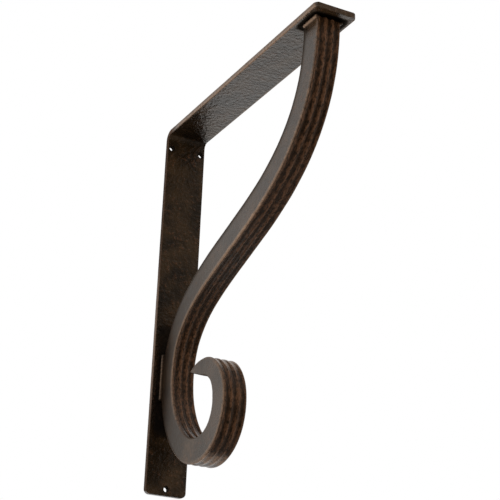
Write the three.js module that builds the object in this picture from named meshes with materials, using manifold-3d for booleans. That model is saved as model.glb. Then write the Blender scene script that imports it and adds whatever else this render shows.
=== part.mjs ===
// A fabricated iron shelf bracket: a flat bar bent square, and under it a grooved bar bent into a long S.
// Millimetres, +Z up. The wall is the plane y = 0 and the bracket stands out from it towards -Y.
// The origin is on the back of the wall leg, in the middle of its width and of its height.
import * as THREE from "three";
import { mergeVertices } from "three/addons/utils/BufferGeometryUtils.js";
import Module from "manifold-3d";

const wasm = await Module();
wasm.setup();

// The mounting strap: a flat bar, two legs and one bend
const STRAP_WIDTH = 50.8;
const STRAP_THICKNESS = 6.35;
const STRAP_HEIGHT = 457.2;
const STRAP_DEPTH = 368.3;
const BEND_RADIUS = 12.7;
const CORNER_RADIUS = 6;

// Its screw holes: two near the bend, in from the sides of the strap, and one near the foot
const HOLE_DIAMETER = 6;
const UPPER_HOLES_DROP = 23;
const UPPER_HOLES_INSET = 5.4;
const FOOT_HOLE_RISE = 7.5;

// The scroll bar's section, with the same flutes along its front and its back
const BAR_WIDTH = 28.5;
const FLUTES = 3;
const FLUTE_DEPTH = 1.6;
const BAR_EDGE = 0.8;

// From the front end of the strap to the middle of the bar where it meets the top leg
const BAR_SETBACK = 30.2;

// How fast the bar bends along its length, in degrees for each tenth of it: towards the wall is plus
const BENDS = [
  { at: 0, rate: 14 },
  { at: 0.09, rate: 34.5 },
  { at: 0.18, rate: 25.5 },
  { at: 0.27, rate: 11 },
  { at: 0.36, rate: -1 },
  { at: 0.45, rate: -14 },
  { at: 0.54, rate: -53 },
  { at: 0.62, rate: -42.5 },
  { at: 0.7, rate: -39 },
  { at: 0.78, rate: -66 },
  { at: 0.85, rate: -109 },
  { at: 0.9, rate: -86 },
  { at: 0.93, rate: -107 },
  { at: 1, rate: -107 },
];

// The bar swells a little in its long sweep and is drawn thinner towards the cut end of the curl
const THICKNESSES = [
  { at: 0, thick: 30 },
  { at: 0.2, thick: 31.3 },
  { at: 0.4, thick: 32.5 },
  { at: 0.55, thick: 28.8 },
  { at: 0.7, thick: 29.2 },
  { at: 0.86, thick: 29.5 },
  { at: 0.9, thick: 28 },
  { at: 0.935, thick: 23 },
  { at: 0.98, thick: 20 },
  { at: 1.015, thick: 23.5 },
];

// The curl ends in a flat cut that slants across the bar, at this angle to the way it runs there
const CUT_ANGLE = 42.4;

// How far the plate that makes the cut reaches into the curl, past the tip and beyond the cut
const CUT_INTO_CURL = 34.6;
const CUT_PAST_TIP = 30.3;
const CUT_BEYOND = 26;

// The fillet welds along both sides of the bar, under the top leg and where it lies on the wall leg
const TOP_WELD_LEG = 3.6;
const TOP_WELD_DROP = 3.6;
const WALL_WELD_LEG = 3.6;
const WALL_WELD_DROP = 4.6;
const WALL_WELD_LENGTH = 60;
const WALL_WELD_RISE = 3;
const WELD_ROOT = 2;

// The bar is kept this far from the strap, so that the two stay separate solids
const JOINT_GAP = 0.3;

// How finely round forms are cut into flats
const MIDDLE_STEPS = 1600;
const STEP_ALONG = 16;
const STEP_TURN = 6;
const FLUTE_STEPS = 6;
const ROUND_STEPS = 8;
const HOLE_SIDES = 24;

// What a cutter reaches past the metal that it cuts
const OVERSHOOT = 2;

const top = STRAP_HEIGHT / 2;
const underside = top - STRAP_THICKNESS - JOINT_GAP;
const wallFace = STRAP_THICKNESS + JOINT_GAP;
const barTopOut = STRAP_DEPTH - BAR_SETBACK;

// Joining and cutting closed geometries
function solidOf(geometry) {
  const bare = geometry.clone();
  bare.deleteAttribute("normal");
  bare.deleteAttribute("uv");
  const merged = mergeVertices(bare, 1e-4);
  const mesh = new wasm.Mesh({
    numProp: 3,
    vertProperties: merged.attributes.position.array,
    triVerts: new Uint32Array(merged.index.array),
  });
  return new wasm.Manifold(mesh);
}

function geometryOf(solid) {
  const mesh = solid.getMesh();
  const geometry = new THREE.BufferGeometry();
  geometry.setAttribute("position", new THREE.BufferAttribute(mesh.vertProperties, 3));
  geometry.setIndex(new THREE.BufferAttribute(mesh.triVerts, 1));
  const flat = geometry.toNonIndexed();
  flat.computeVertexNormals();
  return flat;
}

// A shape drawn in the side view, with x as the distance out from the wall and y as height, made width wide
function sidePlate(shape, width) {
  const plate = new THREE.ExtrudeGeometry(shape, { depth: width, bevelEnabled: false, curveSegments: ROUND_STEPS });
  plate.rotateX(Math.PI / 2);
  plate.rotateZ(-Math.PI / 2);
  plate.translate(width / 2, 0, 0);
  return plate;
}

// Mounting strap
function strapOutline() {
  const inner = BEND_RADIUS - STRAP_THICKNESS;
  const outline = new THREE.Shape();
  outline.moveTo(0, -top);
  outline.lineTo(STRAP_THICKNESS, -top);
  outline.lineTo(STRAP_THICKNESS, top - BEND_RADIUS);
  outline.absarc(BEND_RADIUS, top - BEND_RADIUS, inner, Math.PI, Math.PI / 2, true);
  outline.lineTo(STRAP_DEPTH, top - STRAP_THICKNESS);
  outline.lineTo(STRAP_DEPTH, top);
  outline.lineTo(BEND_RADIUS, top);
  outline.absarc(BEND_RADIUS, top - BEND_RADIUS, BEND_RADIUS, Math.PI / 2, Math.PI, false);
  return outline;
}

// What is cut from a square corner at (0, 0), with the metal towards plus x and plus y, to round it
function cornerCutter() {
  const shape = new THREE.Shape();
  shape.moveTo(-OVERSHOOT, -OVERSHOOT);
  shape.lineTo(CORNER_RADIUS, -OVERSHOOT);
  shape.lineTo(CORNER_RADIUS, 0);
  shape.absarc(CORNER_RADIUS, CORNER_RADIUS, CORNER_RADIUS, -Math.PI / 2, -Math.PI, true);
  shape.lineTo(-OVERSHOOT, CORNER_RADIUS);
  const depth = STRAP_THICKNESS + 2 * OVERSHOOT;
  const cutter = new THREE.ExtrudeGeometry(shape, { depth, bevelEnabled: false, curveSegments: ROUND_STEPS });
  cutter.translate(0, 0, -depth / 2);
  return cutter;
}

function screwHole(x, z) {
  const radius = HOLE_DIAMETER / 2;
  const drill = new THREE.CylinderGeometry(radius, radius, STRAP_THICKNESS + 2 * OVERSHOOT, HOLE_SIDES);
  drill.translate(x, -STRAP_THICKNESS / 2, z);
  return drill;
}

function mountingStrap() {
  const half = STRAP_WIDTH / 2;
  let strap = solidOf(sidePlate(strapOutline(), STRAP_WIDTH));
  for (const side of [-1, 1]) {
    const foot = cornerCutter();
    foot.rotateX(Math.PI / 2);
    foot.rotateZ(side > 0 ? Math.PI : 0);
    foot.translate(side * half, -STRAP_THICKNESS / 2, -top);
    strap = strap.subtract(solidOf(foot));
    const front = cornerCutter();
    front.rotateZ(side > 0 ? Math.PI / 2 : 0);
    front.translate(side * half, -STRAP_DEPTH, top - STRAP_THICKNESS / 2);
    strap = strap.subtract(solidOf(front));
    const upperHole = screwHole(side * (half - UPPER_HOLES_INSET), top - UPPER_HOLES_DROP);
    strap = strap.subtract(solidOf(upperHole));
  }
  strap = strap.subtract(solidOf(screwHole(0, -top + FOOT_HOLE_RISE)));
  return geometryOf(strap);
}

// The value of key at a share of the bar's length, straight between the stations on either side of it
function between(stations, key, at) {
  const last = stations[stations.length - 1];
  if (at >= last.at) return last[key];
  const k = stations.findIndex((station) => station.at > at);
  const [a, b] = [stations[k - 1], stations[k]];
  return a[key] + ((b[key] - a[key]) * (at - a.at)) / (b.at - a.at);
}

// The middle line of a bar of length 1, from its top end on past the cut, which crosses it at 1:
// how far it has come in towards the wall and down, and the way it heads there
function middleLine() {
  const step = 1 / MIDDLE_STEPS;
  const points = [];
  let inward = 0;
  let down = 0;
  let heading = 0;
  for (let at = 0; at <= THICKNESSES[THICKNESSES.length - 1].at; at += step) {
    points.push({ at, inward, down, heading });
    const turn = between(BENDS, "rate", at + step / 2) * step * 10;
    const halfway = THREE.MathUtils.degToRad(heading + turn / 2);
    inward += Math.sin(halfway) * step;
    down += Math.cos(halfway) * step;
    heading += turn;
  }
  return points;
}

// The bar touches the wall leg where it has turned back to straight down, and that sets its length
const middle = middleLine();
const touch = middle.find((point) => point.at > 0 && point.heading <= 0);
const touchThickness = between(THICKNESSES, "thick", touch.at);
const barLength = (barTopOut - wallFace - touchThickness / 2) / touch.inward;
const touchHeight = underside - touch.down * barLength;

// Where the bar's sections stand: out from the wall, height, heading and thickness
function barStations() {
  const stations = [];
  let last = null;
  for (const point of middle) {
    const turned = last ? Math.abs(point.heading - last.heading) : Infinity;
    const gone = last ? (point.at - last.at) * barLength : Infinity;
    if (turned >= STEP_TURN || gone >= STEP_ALONG || point === middle[middle.length - 1]) {
      stations.push({
        out: barTopOut - point.inward * barLength,
        height: underside - point.down * barLength,
        heading: THREE.MathUtils.degToRad(point.heading),
        thick: between(THICKNESSES, "thick", point.at),
      });
      last = point;
    }
  }
  return stations;
}

// One wide face of the bar as [x, depth below the face], from one side edge to the other
function flutedFace() {
  const half = BAR_WIDTH / 2;
  const points = [[-half + BAR_EDGE, 0]];
  const steps = FLUTES * FLUTE_STEPS;
  for (let k = 1; k < steps; k++) {
    const x = -half + (k * BAR_WIDTH) / steps;
    const depth = (FLUTE_DEPTH * (1 - Math.cos((2 * Math.PI * k) / FLUTE_STEPS))) / 2;
    points.push([x, depth]);
  }
  points.push([half - BAR_EDGE, 0]);
  return points;
}

// The closed outline of the section, as [x, distance towards the front face]
function barSection(thick) {
  const half = BAR_WIDTH / 2;
  const face = flutedFace();
  const front = face.map(([x, depth]) => [x, thick / 2 - depth]);
  const back = face.map(([x, depth]) => [-x, depth - thick / 2]);
  return [
    [-half, thick / 2 - BAR_EDGE],
    ...front,
    [half, thick / 2 - BAR_EDGE],
    [half, BAR_EDGE - thick / 2],
    ...back,
    [-half, BAR_EDGE - thick / 2],
  ];
}

// A closed skin over rings of points, every ring with the same number of them
function skinOver(rings, section) {
  const count = section.length;
  const index = [];
  for (let ring = 0; ring + 1 < rings.length; ring++) {
    for (let k = 0; k < count; k++) {
      const next = (k + 1) % count;
      const a = ring * count + k;
      const b = ring * count + next;
      index.push(a, a + count, b, b, a + count, b + count);
    }
  }
  const endCap = section.map(([x, y]) => new THREE.Vector2(x, y));
  const end = (rings.length - 1) * count;
  for (const [a, b, c] of THREE.ShapeUtils.triangulateShape(endCap, [])) {
    index.push(a, c, b);
    index.push(end + a, end + b, end + c);
  }
  const geometry = new THREE.BufferGeometry();
  geometry.setFromPoints(rings.flat());
  geometry.setIndex(index);
  return geometry;
}

function barRing({ out, height, heading, thick }) {
  return barSection(thick).map(([x, forward]) => {
    const y = -(out + forward * Math.cos(heading));
    return new THREE.Vector3(x, y, height - forward * Math.sin(heading));
  });
}

// The space in the curl beyond the slanting cut: a plate whose straight edge lies along the cut
function endCutter() {
  const end = middle.find((point) => point.at >= 1);
  const slant = THREE.MathUtils.degToRad(end.heading + CUT_ANGLE);
  const towardsTip = new THREE.Vector2(-Math.sin(slant), -Math.cos(slant));
  const beyond = new THREE.Vector2(-towardsTip.y, towardsTip.x);
  const crossing = new THREE.Vector2(barTopOut - end.inward * barLength, underside - end.down * barLength);
  const corner = (along, past) =>
    crossing.clone().addScaledVector(towardsTip, along).addScaledVector(beyond, past);
  const shape = new THREE.Shape([
    corner(-CUT_INTO_CURL, 0),
    corner(CUT_PAST_TIP, 0),
    corner(CUT_PAST_TIP, CUT_BEYOND),
    corner(-CUT_INTO_CURL, CUT_BEYOND),
  ]);
  return sidePlate(shape, BAR_WIDTH + 2 * OVERSHOOT);
}

// A three-cornered weld bead, leg wide on a plate at y = 0 and drop high on that side of the bar
function weldBead(side, leg, drop, length) {
  const shape = new THREE.Shape();
  shape.moveTo(-WELD_ROOT, 0);
  shape.lineTo(leg, 0);
  shape.lineTo(0, -drop);
  shape.lineTo(-WELD_ROOT, -drop);
  const bead = new THREE.ExtrudeGeometry(shape, { depth: length, bevelEnabled: false });
  bead.translate(BAR_WIDTH / 2, 0, -length / 2);
  bead.rotateY(side > 0 ? 0 : Math.PI);
  return bead;
}

function topWeld(side) {
  const bead = weldBead(side, TOP_WELD_LEG, TOP_WELD_DROP, THICKNESSES[0].thick);
  bead.rotateX(Math.PI / 2);
  bead.translate(0, -barTopOut, underside);
  return bead;
}

function wallWeld(side) {
  const bead = weldBead(side, WALL_WELD_LEG, WALL_WELD_DROP, WALL_WELD_LENGTH);
  bead.translate(0, -wallFace, touchHeight + WALL_WELD_RISE);
  return bead;
}

function scrollBar() {
  const rings = barStations().map(barRing);
  let bar = solidOf(skinOver(rings, barSection(THICKNESSES[0].thick)));
  bar = bar.subtract(solidOf(endCutter()));
  for (const side of [-1, 1]) {
    bar = bar.add(solidOf(topWeld(side)));
    bar = bar.add(solidOf(wallWeld(side)));
  }
  return geometryOf(bar);
}

// Finish: a dark bronze-brown coat, a little glossy
const bronze = new THREE.MeshStandardMaterial({ color: 0x2e2622, roughness: 0.42, metalness: 0.6 });
const bronzeWorn = new THREE.MeshStandardMaterial({ color: 0x3a302a, roughness: 0.45, metalness: 0.6 });

const bracket = new THREE.Group();

const strap = new THREE.Mesh(mountingStrap(), bronze);
strap.name = "mounting_strap";
bracket.add(strap);

const scroll = new THREE.Mesh(scrollBar(), bronzeWorn);
scroll.name = "scroll_bar";
bracket.add(scroll);

export default bracket;
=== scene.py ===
import math

import bmesh
import bpy
import numpy as np
from mathutils import Matrix, Vector, noise


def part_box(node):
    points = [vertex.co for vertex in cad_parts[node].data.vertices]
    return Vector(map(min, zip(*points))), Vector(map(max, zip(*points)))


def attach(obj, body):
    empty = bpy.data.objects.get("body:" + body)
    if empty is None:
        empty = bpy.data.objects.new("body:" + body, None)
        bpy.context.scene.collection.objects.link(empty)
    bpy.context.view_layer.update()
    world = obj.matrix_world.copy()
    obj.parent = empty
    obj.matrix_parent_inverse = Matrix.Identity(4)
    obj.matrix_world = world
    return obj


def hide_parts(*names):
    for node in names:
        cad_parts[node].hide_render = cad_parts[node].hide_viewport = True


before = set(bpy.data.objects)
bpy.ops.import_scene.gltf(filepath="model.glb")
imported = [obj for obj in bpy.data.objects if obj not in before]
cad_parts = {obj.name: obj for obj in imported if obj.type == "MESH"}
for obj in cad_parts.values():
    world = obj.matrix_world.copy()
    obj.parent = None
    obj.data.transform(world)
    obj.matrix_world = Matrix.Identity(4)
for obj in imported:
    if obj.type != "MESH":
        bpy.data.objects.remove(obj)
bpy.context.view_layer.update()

MM = 0.001

# Camera: below the foot of the bracket and to its left, looking up. Its angles are in degrees, and its focal
# length is in pixels of a 500 pixel wide picture.
CAMERA_PLACE = Vector((-0.6633116, -1.4833193, -0.5582621))
CAMERA_YAW = 27.18722892
CAMERA_PITCH = 21.46059576
CAMERA_ROLL = 2.35573457
FOCAL_PIXELS = 1422.7214
PICTURE_PIXELS = 500
SENSOR_WIDTH = 36.0
NEAREST_SEEN = 0.05
FARTHEST_SEEN = 100

# Strap: its outer sizes come from the solid
STRAP_THICKNESS = 6.35 * MM
BEND_RADIUS = 12.7 * MM
CORNER_RADIUS = 6 * MM
STRAP_EDGE = 1.0 * MM
HOLE_RADIUS = 3 * MM
HOLE_FLARE = 0.25 * MM
UPPER_HOLES_DROP = 23 * MM
UPPER_HOLES_INSET = 5.4 * MM
FOOT_HOLE_RISE = 7.5 * MM

# Scroll bar: its section, and how it bends, as in the solid. Rates are degrees for each tenth of its length.
BAR_WIDTH = 28.5 * MM
FLUTES = 3
FLUTE_DEPTH = 1.6 * MM
EDGE_ACROSS = 1.3 * MM
EDGE_ALONG = 2.4 * MM
BAR_SETBACK = 30.2 * MM
BENDS = (
    (0, 14), (0.09, 34.5), (0.18, 25.5), (0.27, 11), (0.36, -1), (0.45, -14), (0.54, -53),
    (0.62, -42.5), (0.7, -39), (0.78, -66), (0.85, -109), (0.9, -86), (0.93, -107), (1, -107),
)
THICKNESSES = (
    (0, 30), (0.2, 31.3), (0.4, 32.5), (0.55, 28.8), (0.7, 29.2), (0.86, 29.5), (0.9, 28),
    (0.935, 23), (0.98, 20), (1.015, 23.5),
)
CUT_ANGLE = 42.4
CUT_EDGE = 0.8 * MM
CUT_REGION = 0.92
CUT_REGION_END = 1.045
JOINT_GAP = 0.3 * MM

# How far the finish is rubbed off the bar, by share of its length, and painted highlights: along its front
# edges, rub and painted highlight together, along its back edges, over the grooves of its back face, painted
# highlights, and in scuffs on its sides at the bottom of the loop and at the beak
FRONT_EDGE_WEAR_AND_HIGHLIGHT = (
    (0, 0.3), (0.1, 0.42), (0.2, 0.66), (0.35, 0.78), (0.47, 0.75), (0.6, 0.68), (0.68, 0.55), (0.73, 0.1),
    (0.86, 0), (0.97, 0), (1, 0.3),
)
BACK_EDGE_WEAR = ((0, 0.1), (0.5, 0.15), (0.7, 0.1), (0.76, 0.4), (0.82, 0.65), (0.92, 0.55), (1, 0.3))
BACK_FACE_PAINTED_HIGHLIGHT = ((0, 0), (0.79, 0), (0.8, 0.5), (0.82, 0.5), (0.83, 0), (0.915, 0), (0.935, 0.5), (1, 0.5))
SIDE_SCUFFS = ((0, 0.1), (0.05, 0), (0.73, 0), (0.76, 0.32), (0.785, 0.32), (0.81, 0), (0.975, 0), (1, 0.4))

# How far in from its edges the bar is rubbed: on its faces, and on its sides by share of half the thickness
FACE_RUB_SPAN = (1.3 * MM, 3.0 * MM)
SIDE_RUB_SPAN = (0.7, 1.0)

# How brown the crests between the grooves are, by share of the bar's length
CREST_BROWNING = ((0, 1), (0.3, 1), (0.36, 0.65), (0.46, 0.65), (0.51, 1), (1, 1))

# How dark and dull the bar is: painted shade on its sides, by millimetres out from the wall, darker towards
# their back edge, and painted shade along its front edges, by share of its length
SIDE_PAINTED_SHADE = ((0, 0.5), (30, 0.45), (60, 0.42), (100, 0.38), (140, 0.25), (180, 0.05), (200, 0))
BACK_EDGE_DARKENING = 0.75
BACK_EDGE_DARKENING_START = 0.35
FRONT_EDGE_PAINTED_SHADE = ((0, 0), (0.71, 0), (0.76, 0.8), (0.87, 0.8), (0.9, 0.5), (0.93, 0.9), (1, 0.9))

# How far the finish is rubbed off the strap: on the narrow sides of its wall leg, by height in millimetres,
# on those of its top leg, on the strips of the wide faces beside them, and on both ends
WALL_SIDE_WEAR = (
    (-230, 0.35), (-170, 0.5), (-100, 0.75), (-50, 0.85), (20, 0.75), (60, 0.3), (150, 0.35), (200, 0.2),
)
TOP_SIDE_WEAR = 0.85
TOP_LEG_WEAR_SPAN = (8 * MM, 50 * MM)
OUTER_EDGE_SHARE = 0.75
SIDE_WEAR_DEPTHS = (2 * MM, 5 * MM)
WALL_STRIP_WEAR = 0.15
TOP_STRIP_WEAR = 0.45
STRIP_SPAN = (0.6 * MM, 5 * MM)
FRONT_END_WEAR = 0.36
FOOT_END_WEAR = 0.1
END_REACH = 0.6 * MM

# How matt and brown the narrow sides of the strap are: on the wall leg, less where the wear shows, and on the
# top leg, less along its inner edge
WALL_SIDE_MATTE = 1.1
MATTE_LOST_TO_WEAR = 0.65
TOP_SIDE_MATTE = 0.45
TOP_LEG_MATTE_SPAN = (8 * MM, 30 * MM)
INNER_EDGE_SHARE = 0.3
SIDE_MATTE_DEPTHS = (3.5 * MM, 6 * MM)

# How dark and dull the strap is: a painted dark reflection of the bar round its top end, painted shade beside
# the bar on the wall leg and in the bend, and the narrow sides of the wall leg, from no loss at the first
# number for wear to nothing left at the second
TOP_PAINTED_REFLECTION_SPAN = (6 * MM, 10 * MM)
WALL_PAINTED_SHADE = 0.65
WALL_PAINTED_SHADE_SPAN = (4.5 * MM, 9 * MM)
BEND_PAINTED_SHADE = 0.3
BEND_PAINTED_SHADE_SPAN = (30 * MM, 140 * MM)
WALL_SIDE_DARKENING = 0.5
DARKENING_LOST_TO_WEAR = (0.2, 0.75)

# Welds: round-faced beads with tapered ends, faint ripples and some unevenness
TOP_WELD_SIZE = 2.8 * MM
TOP_WELD_OVERRUN = 3.0 * MM
WALL_WELD_SIZE = 2.2 * MM
WALL_WELD_LENGTH = 60 * MM
WALL_WELD_RISE = 3 * MM
WELD_TAPER = 4.0 * MM
WELD_END_SHARE = 0.1
WELD_ROOT = 1.5 * MM
WELD_ROOT_SHARE = 0.98
RIPPLE_SHARE = 0.05
RIPPLE_TURN = 1.35
UNEVEN_SHARE = 0.08
UNEVEN_STEP = 0.21
# The left bead under the top leg is rubbed brighter than the right: wear with a painted highlight on it
LEFT_TOP_WELD_WEAR_AND_HIGHLIGHT = 0.8
RIGHT_TOP_WELD_WEAR = 0.3
WALL_WELD_WEAR = 0.5
TOP_WELD_SEED = 2
WALL_WELD_SEED = 6

# How finely the meshes are cut. The shares are of half a face's width, and each list is used on both sides of
# the face's middle.
RING_STEP = 1.6 * MM
FLUTE_STEPS = 12
ARC_STEPS = 5
BAR_SIDE_SHARES = (0.99, 0.93, 0.8, 0.5, 0.2)
CUT_EDGE_STEPS = 3
CUT_TRIES = 900
MIDDLE_STEPS = 1600
MIDDLE_LINE_END = 1.05
STRAP_STEP = 4 * MM
FIRST_STRAP_STEP = 3 * MM
BEND_STEPS = 14
EDGE_STEPS = 6
CORNER_STEPS = 12
STRAP_FACE_SHARES = (0.98, 0.94, 0.88, 0.78, 0.64, 0.48, 0.3, 0.15)
STRAP_SIDE_SHARES = (0.8, 0.3)
HOLE_SIDES = 40
CUTTER_OVERRUN = 1 * MM
WELD_STEP = 1.0 * MM
WELD_ARC_STEPS = 8
SMOOTH_ANGLE = 38
WELD_SMOOTH_ANGLE = 50

# Colours of the finish
DARK_BROWN = (0.020, 0.0115, 0.005)
BROWN = (0.066, 0.036, 0.0145)
RUST = (0.15, 0.062, 0.026)
GROOVE_BROWN = (0.042, 0.0205, 0.0095)
CREST_BROWN = (0.18, 0.082, 0.039)
# The rubbed copper also paints highlights on the bar's front edges, the back of the loop and the left top weld
RUBBED_AND_HIGHLIGHT = (0.34, 0.215, 0.14)
# The near-black dull coat also paints shade on the bar and strap, and a dark reflection of the bar round its
# top end
GRIME_AND_SHADE = (0.012, 0.007, 0.0035)
MATTE_BROWN = (0.10, 0.046, 0.020)
SHEEN_OF_COAT = (1.0, 0.96, 0.90, 1.0)

# Marks of the finish: how wide each is and how strong, and for streaks how much a distance along the bar
# counts, which draws them out along it
BROAD_MOTTLE = 30 * MM
FINE_MOTTLE = 4 * MM
RUST_PATCH = 16 * MM
MOST_RUST = 0.8
RUST_BESIDE_PATCHES = 0.35
STREAK_WIDTH = 2.0 * MM
STREAK_ALONG = 0.35
STREAK_CONTRAST = 0.52
DARK_STREAKS = 0.8
STREAK_PATCH_WIDTH = 6 * MM
STREAK_PATCH_ALONG = 0.4
STREAK_PATCH_CONTRAST = 0.45
BAR_SIDE_BROWNING = 0.2
WEAR_CONTRAST = 0.2
MOST_WORN = 0.8
METAL_UNDER_MATTE = 0.2
ROUGHNESS_SPREAD = 0.1
GRIME_AND_SHADE_ROUGHNESS = 0.65
MATTE_ROUGHNESS = 0.9

# Studio: how bright its sides are, and the direction of the wall behind the bracket
WALL_DIRECTION = (-0.3, 1, 0.15)
WALL_LIGHT = 0.92
CEILING_LIGHT = 0.35
FLOOR_LIGHT = 0.22
NEAR_SIDE_LOW_LIGHT = 0.05
NEAR_SIDE_HIGH_LIGHT = 0.16
RIGHT_SIDE_LIGHT = 0.3
LIGHT_TARGET = (0, -0.15, 0)

# Frame of the object
strap_low, strap_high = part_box("mounting_strap")
half_width = strap_high.x
top = strap_high.z
foot = strap_low.z
front = -strap_low.y
underside = top - STRAP_THICKNESS
wall_face = STRAP_THICKNESS + JOINT_GAP
bar_top = underside - JOINT_GAP
bar_top_out = front - BAR_SETBACK
wall_run = top - foot - BEND_RADIUS
bend_run = (BEND_RADIUS - STRAP_THICKNESS / 2) * math.pi / 2
strap_length = wall_run + bend_run + (front - BEND_RADIUS)


# Camera
def add_camera():
    yaw = math.radians(CAMERA_YAW)
    pitch = math.radians(CAMERA_PITCH)
    roll = math.radians(CAMERA_ROLL)
    forward = Vector((math.sin(yaw) * math.cos(pitch), math.cos(yaw) * math.cos(pitch), math.sin(pitch)))
    level_right = Vector((math.cos(yaw), -math.sin(yaw), 0))
    level_up = level_right.cross(forward)
    right = math.cos(roll) * level_right + math.sin(roll) * level_up
    up = math.cos(roll) * level_up - math.sin(roll) * level_right
    data = bpy.data.cameras.new("camera")
    data.sensor_width = SENSOR_WIDTH
    data.lens = FOCAL_PIXELS * SENSOR_WIDTH / PICTURE_PIXELS
    data.clip_start = NEAREST_SEEN
    data.clip_end = FARTHEST_SEEN
    camera = bpy.data.objects.new("camera", data)
    turn = Matrix((right, up, -forward)).transposed()
    camera.matrix_world = Matrix.Translation(CAMERA_PLACE) @ turn.to_4x4()
    bpy.context.scene.collection.objects.link(camera)
    bpy.context.scene.camera = camera


# Numbers
def fade(value, low, high):
    """0 up to low, 1 from high on, smooth between."""
    share = min(max((value - low) / (high - low), 0), 1)
    return share * share * (3 - 2 * share)


def blend(a, b, share):
    """a at share 0, b at share 1, straight between."""
    return a * (1 - share) + b * share


def read_off(table, place):
    """What a table of (place, number) pairs says at a place, straight between its pairs."""
    return np.interp(place, *zip(*table))


def both_ways(shares, middle=()):
    """The shares from the edge in to the middle, and the same ones below zero out to the other edge."""
    return [*shares, *middle, *(-share for share in reversed(shares))]


def arc_angles(steps):
    """Angles from 0 to a right angle, in radians."""
    return [math.radians(90 * k / steps) for k in range(steps + 1)]


def rounded_off(distance, radius):
    """How much a round corner takes off at a distance in from the end of the metal."""
    if distance >= radius:
        return 0
    return radius - math.sqrt(radius ** 2 - (radius - distance) ** 2)


# Meshes
def piece_from(name, vertices, faces):
    """A closed mesh object with its faces turned outwards."""
    mesh = bpy.data.meshes.new(name)
    mesh.from_pydata([tuple(v) for v in vertices], [], faces)
    turned = bmesh.new()
    turned.from_mesh(mesh)
    if turned.calc_volume(signed=True) < 0:
        bmesh.ops.reverse_faces(turned, faces=turned.faces)
    turned.to_mesh(mesh)
    turned.free()
    piece = bpy.data.objects.new(name, mesh)
    bpy.context.scene.collection.objects.link(piece)
    return piece


def shade(piece, angle=SMOOTH_ANGLE):
    """Shades the piece smooth but for its edges sharper than angle degrees."""
    piece.data.polygons.foreach_set("use_smooth", [True] * len(piece.data.polygons))
    piece.data.set_sharp_from_angle(angle=math.radians(angle))


def skin_faces(rings, count):
    """Faces over rings of count points each, with a flat face on both ends."""
    faces = []
    for ring in range(rings - 1):
        for k in range(count):
            a = ring * count + k
            b = ring * count + (k + 1) % count
            faces.append((a, b, b + count, a + count))
    faces.append(tuple(reversed(range(count))))
    faces.append(tuple((rings - 1) * count + k for k in range(count)))
    return faces


def roughen(piece, amount, size, seed):
    """Moves each vertex along its normal by smooth noise: amount metres, with features size metres wide."""
    offset = Vector((seed * 7.1, seed * 3.3, seed * 5.7))
    mesh = piece.data
    places = np.zeros(len(mesh.vertices) * 3, np.float32)
    normals = np.zeros(len(mesh.vertices) * 3, np.float32)
    mesh.vertices.foreach_get("co", places)
    mesh.vertex_normals.foreach_get("vector", normals)
    places = places.reshape(-1, 3)
    heights = np.array([noise.noise(Vector(place) / size + offset) for place in places])
    moved = places + normals.reshape(-1, 3) * (amount * heights)[:, None]
    mesh.vertices.foreach_set("co", moved.astype(np.float32).ravel())
    mesh.update()


def set_values(piece, name, values):
    """Gives each vertex of the piece its value, for the material to read by name."""
    attribute = piece.data.attributes.new(name, "FLOAT", "POINT")
    attribute.data.foreach_set("value", np.asarray(values, np.float32))


def cut_away(piece, cutter):
    """Takes the cutter's space out of the piece, and removes the cutter."""
    modifier = piece.modifiers.new("cut", "BOOLEAN")
    modifier.operation = "DIFFERENCE"
    modifier.solver = "EXACT"
    modifier.object = cutter
    graph = bpy.context.evaluated_depsgraph_get()
    made = bpy.data.meshes.new_from_object(piece.evaluated_get(graph))
    piece.modifiers.clear()
    piece.data = made
    bpy.data.objects.remove(cutter)


# Strap
def strap_section(half_x, half_y):
    """The strap's section as (x, y) points: a rectangle with round corners and with points along its sides."""
    points = []
    for quarter, (sx, sy) in enumerate(((1, 1), (1, -1), (-1, -1), (-1, 1))):
        for angle in arc_angles(ARC_STEPS):
            across, along = (math.sin(angle), math.cos(angle))
            if quarter % 2:
                across, along = along, across
            x = half_x - STRAP_EDGE + STRAP_EDGE * across
            y = half_y - STRAP_EDGE + STRAP_EDGE * along
            points.append((sx * x, sy * y))
        if quarter % 2 == 0:
            shares = both_ways(STRAP_SIDE_SHARES)
            points += [(sx * half_x, sy * (half_y - STRAP_EDGE) * share) for share in shares]
        else:
            shares = both_ways(STRAP_FACE_SHARES, middle=[0])
            points += [(sx * (half_x - STRAP_EDGE) * share, sy * half_y) for share in shares]
    return points


def strap_point(x, along, depth):
    """A point of the strap: along is from its foot, up and then out, and depth is from its outer face."""
    if along <= wall_run:
        return (x, -depth, foot + along)
    if along <= wall_run + bend_run:
        angle = (along - wall_run) / bend_run * math.pi / 2
        radius = BEND_RADIUS - depth
        return (x, radius * math.cos(angle) - BEND_RADIUS, top - BEND_RADIUS + radius * math.sin(angle))
    return (x, -BEND_RADIUS - (along - wall_run - bend_run), top - depth)


def strap_stations():
    """Distances along the strap: close together at its round ends and corners, and in the bend."""
    on_edge = [STRAP_EDGE * (1 - math.cos(angle)) for angle in arc_angles(EDGE_STEPS)]
    on_corner = [CORNER_RADIUS * (1 - math.cos(angle)) for angle in arc_angles(CORNER_STEPS)]
    ends = [round(d, 7) for d in on_edge + [d for d in on_corner if d > STRAP_EDGE]]
    top_leg_start = wall_run + bend_run + STRAP_STEP / 2
    top_leg_end = strap_length - CORNER_RADIUS - STRAP_STEP / 2
    stations = list(ends)
    stations += list(np.arange(CORNER_RADIUS + FIRST_STRAP_STEP, wall_run - STRAP_STEP / 2, STRAP_STEP))
    stations += [wall_run + bend_run * k / BEND_STEPS for k in range(BEND_STEPS + 1)]
    stations += list(np.arange(top_leg_start, top_leg_end, STRAP_STEP))
    stations += [strap_length - d for d in reversed(ends)]
    return stations


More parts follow.
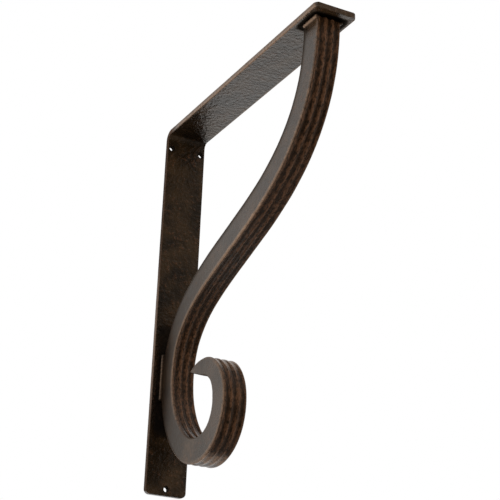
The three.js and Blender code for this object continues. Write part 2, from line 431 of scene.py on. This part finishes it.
def strap_mesh():
    vertices = []
    stations = strap_stations()
    for along in stations:
        end = min(along, strap_length - along)
        half_across = half_width - rounded_off(end, CORNER_RADIUS)
        half_thick = STRAP_THICKNESS / 2 - rounded_off(end, STRAP_EDGE)
        section = strap_section(half_across, half_thick)
        vertices += [strap_point(x, along, STRAP_THICKNESS / 2 + y) for x, y in section]
    return piece_from("mounting_strap_finished", vertices, skin_faces(len(stations), len(section)))


def hole_places():
    """The middles of the three screw holes, as (x, z)."""
    inset = half_width - UPPER_HOLES_INSET
    return [(-inset, top - UPPER_HOLES_DROP), (inset, top - UPPER_HOLES_DROP), (0, foot + FOOT_HOLE_RISE)]


def hole_cutter(x, z):
    """A drill along y that flares out where it meets both faces of the strap."""
    profile = [
        (CUTTER_OVERRUN, HOLE_RADIUS + HOLE_FLARE + CUTTER_OVERRUN),
        (-HOLE_FLARE, HOLE_RADIUS),
        (HOLE_FLARE - STRAP_THICKNESS, HOLE_RADIUS),
        (-STRAP_THICKNESS - CUTTER_OVERRUN, HOLE_RADIUS + HOLE_FLARE + CUTTER_OVERRUN),
    ]
    vertices = []
    for y, radius in profile:
        for k in range(HOLE_SIDES):
            angle = 2 * math.pi * k / HOLE_SIDES
            vertices.append((x + radius * math.cos(angle), y, z + radius * math.sin(angle)))
    return piece_from("hole_cutter", vertices, skin_faces(len(profile), HOLE_SIDES))


def strap_depth(point):
    """How far a point of the strap is below its outer face, which lies on the wall and under the shelf."""
    x, y, z = point
    if y < -BEND_RADIUS:
        return top - z
    if z < top - BEND_RADIUS:
        return -y
    return BEND_RADIUS - math.hypot(y + BEND_RADIUS, z - top + BEND_RADIUS)


def wall_side_wear(z):
    return read_off(WALL_SIDE_WEAR, z / MM)


def strap_wear(point):
    """How far the coat is rubbed off a point of the strap: most along the narrow sides of the top leg."""
    x, y, z = point
    from_side = half_width - abs(x)
    if y < -front + END_REACH:
        return FRONT_END_WEAR
    if z < foot + END_REACH:
        return FOOT_END_WEAR
    on_top_leg = fade(-y, *TOP_LEG_WEAR_SPAN)
    if from_side < STRAP_EDGE:
        wear = blend(wall_side_wear(z), TOP_SIDE_WEAR, on_top_leg)
        return wear * blend(OUTER_EDGE_SHARE, 1, fade(strap_depth(point), *SIDE_WEAR_DEPTHS))
    return blend(WALL_STRIP_WEAR, TOP_STRIP_WEAR, on_top_leg) * (1 - fade(from_side, *STRIP_SPAN))


def strap_matte(point):
    """How far the narrow sides are matt brown instead of coated: most on the wall leg."""
    x, y, z = point
    if half_width - abs(x) > STRAP_EDGE:
        return 0.0
    on_wall_leg = WALL_SIDE_MATTE - MATTE_LOST_TO_WEAR * wall_side_wear(z)
    on_top_leg = TOP_SIDE_MATTE * blend(1, INNER_EDGE_SHARE, fade(strap_depth(point), *SIDE_MATTE_DEPTHS))
    return blend(on_wall_leg, on_top_leg, fade(-y, *TOP_LEG_MATTE_SPAN))


def strap_grime_and_shade(point):
    """How dull and dark the coat is: in the screw holes, on the narrow sides of the wall leg where they are
    little worn, with a painted dark reflection of the bar round its top end, and painted shade beside the bar
    on the wall leg and in the bend."""
    x, y, z = point
    for hole_x, hole_z in hole_places():
        if math.hypot(x - hole_x, z - hole_z) < HOLE_RADIUS + HOLE_FLARE:
            return 1.0
    if strap_depth(point) < STRAP_THICKNESS - STRAP_EDGE:
        if half_width - abs(x) < STRAP_EDGE and -y < STRAP_THICKNESS:
            return WALL_SIDE_DARKENING * (1 - fade(wall_side_wear(z), *DARKENING_LOST_TO_WEAR))
        return 0.0
    beside = max(abs(x) - BAR_WIDTH / 2, 0)
    if -y > BEND_RADIUS:
        # Painted dark reflection of the bar round its top end, and painted shade in the bend
        past = max(abs(-y - bar_top_out) - bar_thickness(0) / 2, 0)
        round_bar = 1 - fade(math.hypot(beside, past), *TOP_PAINTED_REFLECTION_SPAN)
        in_bend = BEND_PAINTED_SHADE * (1 - fade(-y, *BEND_PAINTED_SHADE_SPAN))
        return max(round_bar, in_bend)
    # Painted shade beside the bar on the wall leg
    past = max(abs(z - touch_height) - WALL_WELD_LENGTH, 0)
    return WALL_PAINTED_SHADE * (1 - fade(math.hypot(beside, past), *WALL_PAINTED_SHADE_SPAN))


def add_strap():
    piece = strap_mesh()
    for x, z in hole_places():
        cut_away(piece, hole_cutter(x, z))
    set_values(piece, "worn_and_highlight", [strap_wear(v.co) for v in piece.data.vertices])
    set_values(piece, "grime_and_shade", [strap_grime_and_shade(v.co) for v in piece.data.vertices])
    set_values(piece, "matte", [strap_matte(v.co) for v in piece.data.vertices])
    roughen(piece, amount=0.08 * MM, size=22 * MM, seed=3)
    shade(piece)
    return piece


# Scroll bar
def middle_line():
    """The middle line of a bar of length 1: share, how far in towards the wall, how far down, heading."""
    share = np.linspace(0, MIDDLE_LINE_END, MIDDLE_STEPS + 1)
    step = share[1]
    turn = np.radians(read_off(BENDS, share[:-1] + step / 2) * step * 10)
    heading = np.concatenate([[0], np.cumsum(turn)])
    halfway = heading[:-1] + turn / 2
    inward = np.concatenate([[0], np.cumsum(np.sin(halfway) * step)])
    down = np.concatenate([[0], np.cumsum(np.cos(halfway) * step)])
    return share, inward, down, heading


def bar_thickness(share):
    return read_off(THICKNESSES, share) * MM


share_line, inward_line, down_line, heading_line = middle_line()
touch = int(np.argmax((share_line > 0) & (heading_line <= 0)))
bar_length = (bar_top_out - wall_face - bar_thickness(share_line[touch]) / 2) / inward_line[touch]
touch_height = bar_top - down_line[touch] * bar_length


def bar_point(share, forward):
    """Out from the wall and height of a point forward metres in front of the middle line."""
    heading = np.interp(share, share_line, heading_line)
    out = bar_top_out - np.interp(share, share_line, inward_line) * bar_length
    height = bar_top - np.interp(share, share_line, down_line) * bar_length
    return out + forward * np.cos(heading), height - forward * np.sin(heading)


def bar_section():
    """The closed section, as arrays: x, share of half the thickness, metres in front of that share, rub,
    crest and fluted.

    Rub says how near an edge a point is, and crest how near the top of a ridge, both from 0 to 1. Fluted is
    1 on the two grooved faces and 0 on the sides."""
    half = BAR_WIDTH / 2
    steps = FLUTES * FLUTE_STEPS
    face = []
    for k in range(1, steps):
        x = (half - EDGE_ACROSS) * (2 * k / steps - 1)
        crest = (1 + math.cos(2 * math.pi * k / FLUTE_STEPS)) / 2
        rub = 1 - fade(half - abs(x), *FACE_RUB_SPAN)
        face.append((x, FLUTE_DEPTH * (1 - crest), rub, crest))
    arc = []
    for k, angle in enumerate(arc_angles(ARC_STEPS)):
        x = half - EDGE_ACROSS * (1 - math.sin(angle))
        arc.append((x, EDGE_ALONG * (1 - math.cos(angle)), 1 - k / ARC_STEPS))
    section = []
    for side in (1, -1):
        section += [(side * x, side, -side * depth, rub, crest, 1) for x, depth, rub, crest in face]
        section += [(side * x, side, -side * depth, 1, 1, fluted) for x, depth, fluted in arc]
        for share in both_ways(BAR_SIDE_SHARES):
            rub = fade(abs(share), *SIDE_RUB_SPAN)
            section.append((side * half, side * share, -side * share * EDGE_ALONG, rub, 0, 0))
        section += [(side * x, -side, side * depth, 1, 1, fluted) for x, depth, fluted in reversed(arc)]
    return [np.array(values, dtype=float) for values in zip(*section)]


def cut_shares(share_of_half, forward, setback):
    """Where each long line of the bar meets the slanting cut, or a plane setback metres before it."""
    slant = np.interp(1, share_line, heading_line) + math.radians(CUT_ANGLE)
    beyond = np.array((math.cos(slant), -math.sin(slant)))
    middle = np.array(bar_point(1, 0))
    shares = np.linspace(CUT_REGION, CUT_REGION_END, CUT_TRIES)
    found = []
    for share, further in zip(share_of_half, forward):
        out, height = bar_point(shares, share * bar_thickness(shares) / 2 + further)
        past = (out - middle[0]) * beyond[0] + (height - middle[1]) * beyond[1]
        nearest = int(np.argmin(past))
        found.append(float(np.interp(-setback, past[nearest:], shares[nearest:])))
    return np.array(found)


def bar_rings(share_of_half, forward):
    """Rings of points, as shares of the bar's length, and how far in each is drawn, to round off the cut."""
    steps = int(bar_length * CUT_REGION / RING_STEP)
    rings = [np.full(len(forward), CUT_REGION * k / steps) for k in range(steps)]
    last = cut_shares(share_of_half, forward, CUT_EDGE)
    tail_steps = int(bar_length * (1 - CUT_REGION) / RING_STEP)
    rings += [CUT_REGION + (last - CUT_REGION) * k / tail_steps for k in range(tail_steps + 1)]
    insets = [0] * len(rings)
    for angle in arc_angles(CUT_EDGE_STEPS)[1:]:
        rings.append(cut_shares(share_of_half, forward, CUT_EDGE * (1 - math.sin(angle))))
        insets.append(CUT_EDGE * (1 - math.cos(angle)))
    return rings, insets


def ring_points(shares, inset, x, share_of_half, forward):
    out, height = bar_point(shares, share_of_half * bar_thickness(shares) / 2 + forward)
    points = np.column_stack((x, -out, height))
    if inset:
        inward = points.mean(axis=0) - points
        points = points + inward / np.linalg.norm(inward, axis=1)[:, None] * inset
    return points


def ring_wear_and_highlight(shares, share_of_half, rub, fluted):
    """How far the finish is rubbed off the points of one ring of the bar, with painted highlights: mixed with
    the rub along the front edges, and alone over the grooves of the back face.
    """
    in_front = share_of_half > 0
    edge_wear = rub * np.where(in_front, read_off(FRONT_EDGE_WEAR_AND_HIGHLIGHT, shares), read_off(BACK_EDGE_WEAR, shares))
    face_wear = np.where(in_front, 0, read_off(BACK_FACE_PAINTED_HIGHLIGHT, shares)) * fluted
    scuffs = read_off(SIDE_SCUFFS, shares) * (1 - fluted)
    return np.maximum(edge_wear, face_wear + scuffs)


def ring_shade_and_darkening(shares, out, share_of_half, rub, fluted):
    """Painted shade on the points of one ring of the bar, out metres from the wall: on its sides, most near
    the wall, and along its front edges from the bottom of the loop to the beak; the sides also darken towards
    their back edge.
    """
    towards_back = np.clip((-share_of_half - BACK_EDGE_DARKENING_START) / (1 - BACK_EDGE_DARKENING_START), 0, 1)
    back_edge = BACK_EDGE_DARKENING * (1 - read_off(BACK_EDGE_WEAR, shares)) * towards_back
    on_side = np.maximum(read_off(SIDE_PAINTED_SHADE, out / MM), back_edge)
    front_edge = rub * np.where(share_of_half > 0, read_off(FRONT_EDGE_PAINTED_SHADE, shares), 0)
    return on_side * (1 - fluted) + front_edge * fluted


def scroll_mesh():
    x, share_of_half, forward, rub, crest, fluted = bar_section()
    rings, insets = bar_rings(share_of_half, forward)
    vertices = []
    worn_and_highlight = []
    grime_and_shade = []
    for shares, inset in zip(rings, insets):
        points = ring_points(shares, inset, x, share_of_half, forward)
        vertices.append(points)
        # The rounded end at the cut is dark and dull all over, and not worn
        if inset:
            worn_and_highlight.append(np.zeros(len(x)))
            grime_and_shade.append(np.ones(len(x)))
        else:
            worn_and_highlight.append(ring_wear_and_highlight(shares, share_of_half, rub, fluted))
            grime_and_shade.append(ring_shade_and_darkening(shares, -points[:, 1], share_of_half, rub, fluted))
    vertices[0][:, 2] = underside
    piece = piece_from("scroll_bar_finished", np.concatenate(vertices), skin_faces(len(rings), len(x)))
    shares = np.concatenate(rings)
    set_values(piece, "worn_and_highlight", np.concatenate(worn_and_highlight))
    set_values(piece, "grime_and_shade", np.concatenate(grime_and_shade))
    set_values(piece, "crest", np.tile(crest, len(rings)) * read_off(CREST_BROWNING, shares))
    set_values(piece, "fluted", np.tile(fluted, len(rings)))
    set_values(piece, "along", shares * bar_length)
    return piece


def add_scroll_bar():
    piece = scroll_mesh()
    roughen(piece, amount=0.16 * MM, size=30 * MM, seed=5)
    roughen(piece, amount=0.05 * MM, size=5 * MM, seed=9)
    shade(piece)
    return piece


# Welds
def weld_bead(name, length, size, wear, seed):
    """A bead along z in the corner between a plate at y = 0 and the side of the bar at x = 0."""
    steps = int(length / WELD_STEP)
    vertices = []
    for ring in range(steps + 1):
        share = ring / steps
        end = min(share, 1 - share) * length
        taper = blend(WELD_END_SHARE, 1, math.sqrt(fade(end, 0, WELD_TAPER)))
        ripple = RIPPLE_SHARE * math.sin(ring * RIPPLE_TURN)
        unevenness = UNEVEN_SHARE * noise.noise(Vector((ring * UNEVEN_STEP, seed, 0)))
        radius = size * taper * (1 + ripple + unevenness)
        vertices.append((-WELD_ROOT, 0, share * length))
        for angle in arc_angles(WELD_ARC_STEPS):
            vertices.append((radius * math.cos(angle), -radius * math.sin(angle), share * length))
        vertices.append((-WELD_ROOT, -radius * WELD_ROOT_SHARE, share * length))
    piece = piece_from(name, vertices, skin_faces(steps + 1, WELD_ARC_STEPS + 3))
    shade(piece, WELD_SMOOTH_ANGLE)
    from_end = [min(v.co.z, length - v.co.z) for v in piece.data.vertices]
    set_values(piece, "worn_and_highlight", [wear * fade(end, 0, WELD_TAPER) for end in from_end])
    set_values(piece, "grime_and_shade", [1 - fade(end, 0, WELD_TAPER) for end in from_end])
    return piece


def place_weld(piece, matrix):
    piece.data.transform(matrix)
    if matrix.determinant() < 0:
        piece.data.flip_normals()
    return piece


def add_welds():
    """Beads along both sides of the bar, under the top leg and where it lies on the wall leg."""
    bar_depth = bar_thickness(0)
    top_length = bar_depth + TOP_WELD_OVERRUN
    lay_down = Matrix.Rotation(math.pi / 2, 4, "X")
    at_top = Matrix.Translation((0, -bar_top_out + bar_depth / 2, underside))
    low = touch_height + WALL_WELD_RISE - WALL_WELD_LENGTH / 2
    on_wall = Matrix.Translation((0, -STRAP_THICKNESS, low))
    welds = []
    for side, word, top_wear_and_highlight in ((-1, "left", LEFT_TOP_WELD_WEAR_AND_HIGHLIGHT), (1, "right", RIGHT_TOP_WELD_WEAR)):
        mirror = Matrix.Diagonal((side, 1, 1, 1))
        edge = Matrix.Translation((side * BAR_WIDTH / 2, 0, 0))
        seed = side + TOP_WELD_SEED
        bead = weld_bead(f"top_weld_{word}", top_length, TOP_WELD_SIZE, top_wear_and_highlight, seed)
        welds.append(place_weld(bead, at_top @ lay_down @ edge @ mirror))
        seed = side + WALL_WELD_SEED
        bead = weld_bead(f"wall_weld_{word}", WALL_WELD_LENGTH, WALL_WELD_SIZE, WALL_WELD_WEAR, seed)
        welds.append(place_weld(bead, on_wall @ edge @ mirror))
    return welds


# Materials
class Coat:
    """A material's nodes, with short ways to add them."""

    def __init__(self, name):
        self.material = bpy.data.materials.new(name)
        self.material.use_nodes = True
        self.tree = self.material.node_tree
        self.shader = self.tree.nodes["Principled BSDF"]
        self.place = self.tree.nodes.new("ShaderNodeTexCoord").outputs["Object"]

    def node(self, kind, inputs, **settings):
        made = self.tree.nodes.new(kind)
        for key, value in settings.items():
            setattr(made, key, value)
        for key, value in inputs.items():
            if isinstance(value, bpy.types.NodeSocket):
                self.tree.links.new(value, made.inputs[key])
            else:
                made.inputs[key].default_value = value
        return made

    def noise(self, size, detail, roughness=0.55):
        """Noise from 0 to 1 with features about size metres wide."""
        inputs = {"Vector": self.place, "Scale": 1 / size, "Detail": detail, "Roughness": roughness}
        return self.node("ShaderNodeTexNoise", inputs).outputs["Fac"]

    def streaks(self, size, along_counts):
        """Noise from 0 to 1 on the bar's grooved faces, drawn out along the bar."""
        along = self.math("MULTIPLY", self.value("along"), along_counts)
        split = self.node("ShaderNodeSeparateXYZ", {"Vector": self.place})
        flat = self.node("ShaderNodeCombineXYZ", {"X": along, "Y": split.outputs["X"]}).outputs["Vector"]
        inputs = {"Vector": flat, "Scale": 1 / size, "Detail": 4, "Roughness": 0.6}
        return self.node("ShaderNodeTexNoise", inputs).outputs["Fac"]

    def value(self, name):
        return self.node("ShaderNodeAttribute", {}, attribute_name=name).outputs["Fac"]

    def math(self, operation, a, b):
        return self.node("ShaderNodeMath", {0: a, 1: b}, operation=operation).outputs["Value"]

    def span(self, value, low, high, to_low=0.0, to_high=1.0):
        """value from low to high, smoothly, as to_low to to_high."""
        inputs = {"Value": value, "From Min": low, "From Max": high, "To Min": to_low, "To Max": to_high}
        made = self.node("ShaderNodeMapRange", inputs, interpolation_type="SMOOTHSTEP")
        return made.outputs["Result"]

    def spread(self, value, low, high, contrast):
        """value from low to high, smoothly, as minus contrast to plus contrast."""
        return self.span(value, low, high, -contrast, contrast)

    def mix(self, factor, a, b):
        made = self.node("ShaderNodeMix", {}, data_type="RGBA")
        for index, value in ((0, factor), (6, a), (7, b)):
            if isinstance(value, bpy.types.NodeSocket):
                self.tree.links.new(value, made.inputs[index])
            elif index == 0:
                made.inputs[index].default_value = value
            else:
                made.inputs[index].default_value = (*value, 1)
        return made.outputs[2]

    def connect(self, socket, value):
        self.tree.links.new(value, self.shader.inputs[socket])

    def bump(self, height, distance):
        inputs = {"Height": height, "Distance": distance, "Strength": 1.0}
        self.connect("Normal", self.node("ShaderNodeBump", inputs).outputs["Normal"])


def mottled_brown(coat, fine):
    """Black-brown with broad brown patches and fine specks of rust."""
    brown = coat.mix(coat.span(coat.noise(BROAD_MOTTLE, detail=4), 0.36, 0.66), DARK_BROWN, BROWN)
    patches = coat.span(coat.noise(RUST_PATCH, detail=3), 0.48, 0.62, RUST_BESIDE_PATCHES, 1.0)
    specks = coat.span(fine, 0.5, 0.72, 0.0, MOST_RUST)
    return coat.mix(coat.math("MULTIPLY", specks, patches), brown, RUST)


def streaked_faces(coat, side_colour):
    """Streaked brown on the grooved faces, lighter on the crests, and a browner side colour on the sides."""
    streak = coat.streaks(STREAK_WIDTH, STREAK_ALONG)
    patch = coat.streaks(STREAK_PATCH_WIDTH, STREAK_PATCH_ALONG)
    light = coat.math("ADD", coat.value("crest"), coat.spread(streak, 0.25, 0.75, STREAK_CONTRAST))
    light = coat.math("ADD", light, coat.spread(patch, 0.3, 0.7, STREAK_PATCH_CONTRAST))
    face = coat.mix(coat.span(light, 0.0, 1.3), GROOVE_BROWN, CREST_BROWN)
    face = coat.mix(coat.span(streak, 0.51, 0.35, 0.0, DARK_STREAKS), face, DARK_BROWN)
    side = coat.mix(BAR_SIDE_BROWNING, side_colour, MATTE_BROWN)
    return coat.mix(coat.value("fluted"), side, face)


def bronze_coat(name, fluted, grain_size, grain_depth, pits, rough, index):
    """Oil-rubbed finish: a black-brown coat with brown mottling, rubbed to copper where the metal stands out.
    The copper rub also paints highlights in places, and the near-black dull coat also paints shade and a dark
    reflection.

    pits says how dull its small hollows are, rough how rough the coat is at its smoothest, and index how
    strongly it mirrors."""
    coat = Coat(name)
    coat.shader.inputs["IOR"].default_value = index
    coat.shader.inputs["Specular Tint"].default_value = SHEEN_OF_COAT
    fine = coat.noise(FINE_MOTTLE, detail=5, roughness=0.65)
    grain = coat.noise(grain_size, detail=2)
    worn_and_highlight = coat.math("ADD", coat.value("worn_and_highlight"), coat.spread(fine, 0.25, 0.75, WEAR_CONTRAST))
    worn_and_highlight = coat.span(worn_and_highlight, 0.12, 0.95, 0.0, MOST_WORN)
    matte = coat.value("matte")
    grime_and_shade = coat.math("MAXIMUM", coat.value("grime_and_shade"), coat.span(grain, 0.47, 0.33, 0.0, pits))
    colour = mottled_brown(coat, fine)
    if fluted:
        colour = streaked_faces(coat, colour)
    colour = coat.mix(worn_and_highlight, colour, RUBBED_AND_HIGHLIGHT)
    colour = coat.mix(matte, colour, MATTE_BROWN)
    coat.connect("Base Color", coat.mix(grime_and_shade, colour, GRIME_AND_SHADE))
    metal = coat.math("MULTIPLY", worn_and_highlight, coat.span(matte, 0.0, 1.0, 1.0, METAL_UNDER_MATTE))
    coat.connect("Metallic", coat.math("MAXIMUM", metal, grime_and_shade))
    coat_roughness = coat.span(fine, 0.25, 0.75, rough, rough + ROUGHNESS_SPREAD)
    roughness = coat.math("ADD", coat_roughness, coat.span(grime_and_shade, 0.2, 1.0, 0.0, GRIME_AND_SHADE_ROUGHNESS))
    matte_roughness = coat.span(matte, 0.0, 1.0, 0.0, MATTE_ROUGHNESS)
    coat.connect("Roughness", coat.math("MAXIMUM", roughness, matte_roughness))
    coat.bump(grain, grain_depth)
    return coat.material


def paint(piece, material):
    piece.data.materials.clear()
    piece.data.materials.append(material)


# Studio
def brighter(tree, a, b):
    made = tree.nodes.new("ShaderNodeMath")
    made.operation = "MAXIMUM"
    tree.links.new(a, made.inputs[0])
    tree.links.new(b, made.inputs[1])
    return made.outputs[0]


def brightness(tree, direction, low, high, at_low, at_high):
    """How bright the studio is: at_low to at_high where a part of the direction goes from low to high."""
    made = tree.nodes.new("ShaderNodeMapRange")
    made.interpolation_type = "SMOOTHSTEP"
    for name, number in (("From Min", low), ("From Max", high), ("To Min", at_low), ("To Max", at_high)):
        made.inputs[name].default_value = number
    tree.links.new(direction, made.inputs["Value"])
    return made.outputs["Result"]


def add_world():
    """A studio with a white wall behind the bracket, a dimmer ceiling, floor and right side, and a dark side
    where the camera stands. The camera sees it all as white."""
    world = bpy.data.worlds.new("studio")
    world.use_nodes = True
    tree = world.node_tree
    direction = tree.nodes.new("ShaderNodeTexCoord").outputs["Generated"]
    split = tree.nodes.new("ShaderNodeSeparateXYZ")
    tree.links.new(direction, split.inputs[0])
    across = split.outputs["X"]
    upward = split.outputs["Z"]
    behind = tree.nodes.new("ShaderNodeVectorMath")
    behind.operation = "DOT_PRODUCT"
    tree.links.new(direction, behind.inputs[0])
    behind.inputs[1].default_value = WALL_DIRECTION
    sides = (
        brightness(tree, behind.outputs["Value"], 0.13, 0.42, 0.0, WALL_LIGHT),
        brightness(tree, upward, 0.45, 0.8, 0.0, CEILING_LIGHT),
        brightness(tree, upward, -0.97, -0.72, FLOOR_LIGHT, 0.0),
        brightness(tree, upward, -0.2, 0.7, NEAR_SIDE_LOW_LIGHT, NEAR_SIDE_HIGH_LIGHT),
        brightness(tree, across, 0.5, 0.95, 0.0, RIGHT_SIDE_LIGHT),
    )
    light = tree.nodes.new("ShaderNodeLightPath").outputs["Is Camera Ray"]
    for side in sides:
        light = brighter(tree, light, side)
    background = tree.nodes["Background"]
    tree.links.new(light, background.inputs["Strength"])
    background.inputs["Color"].default_value = (1, 1, 1, 1)
    bpy.context.scene.world = world


def add_light(name, place, size, power, mirrored):
    data = bpy.data.lights.new(name, "AREA")
    data.shape = "SQUARE"
    data.size = size
    data.energy = power
    light = bpy.data.objects.new(name, data)
    light.location = place
    light.rotation_euler = (Vector(LIGHT_TARGET) - Vector(place)).to_track_quat("-Z", "Y").to_euler()
    light.visible_camera = False
    light.visible_glossy = mirrored
    bpy.context.scene.collection.objects.link(light)


add_camera()
bpy.context.scene.view_settings.view_transform = "Standard"
add_world()
add_light("key", (1.1, -1.6, -0.2), size=1.8, power=15, mirrored=False)
add_light("left", (-1.8, -0.75, 0.6), size=1.6, power=8, mirrored=True)

strap = add_strap()
scroll = add_scroll_bar()
welds = add_welds()

strap_coat = bronze_coat(
    "strap_coat", fluted=False, grain_size=4.0 * MM, grain_depth=1.4 * MM, pits=0.0, rough=0.20, index=1.62
)
scroll_coat = bronze_coat(
    "scroll_coat", fluted=True, grain_size=2.6 * MM, grain_depth=0.16 * MM, pits=0.25, rough=0.20, index=1.44
)
weld_coat = bronze_coat(
    "weld_coat", fluted=False, grain_size=1.8 * MM, grain_depth=0.05 * MM, pits=0.15, rough=0.25, index=1.44
)

paint(strap, strap_coat)
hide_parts("mounting_strap")
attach(strap, "root")
paint(scroll, scroll_coat)
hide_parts("scroll_bar")
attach(scroll, "root")
for weld in welds:
    paint(weld, weld_coat)
    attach(weld, "root")
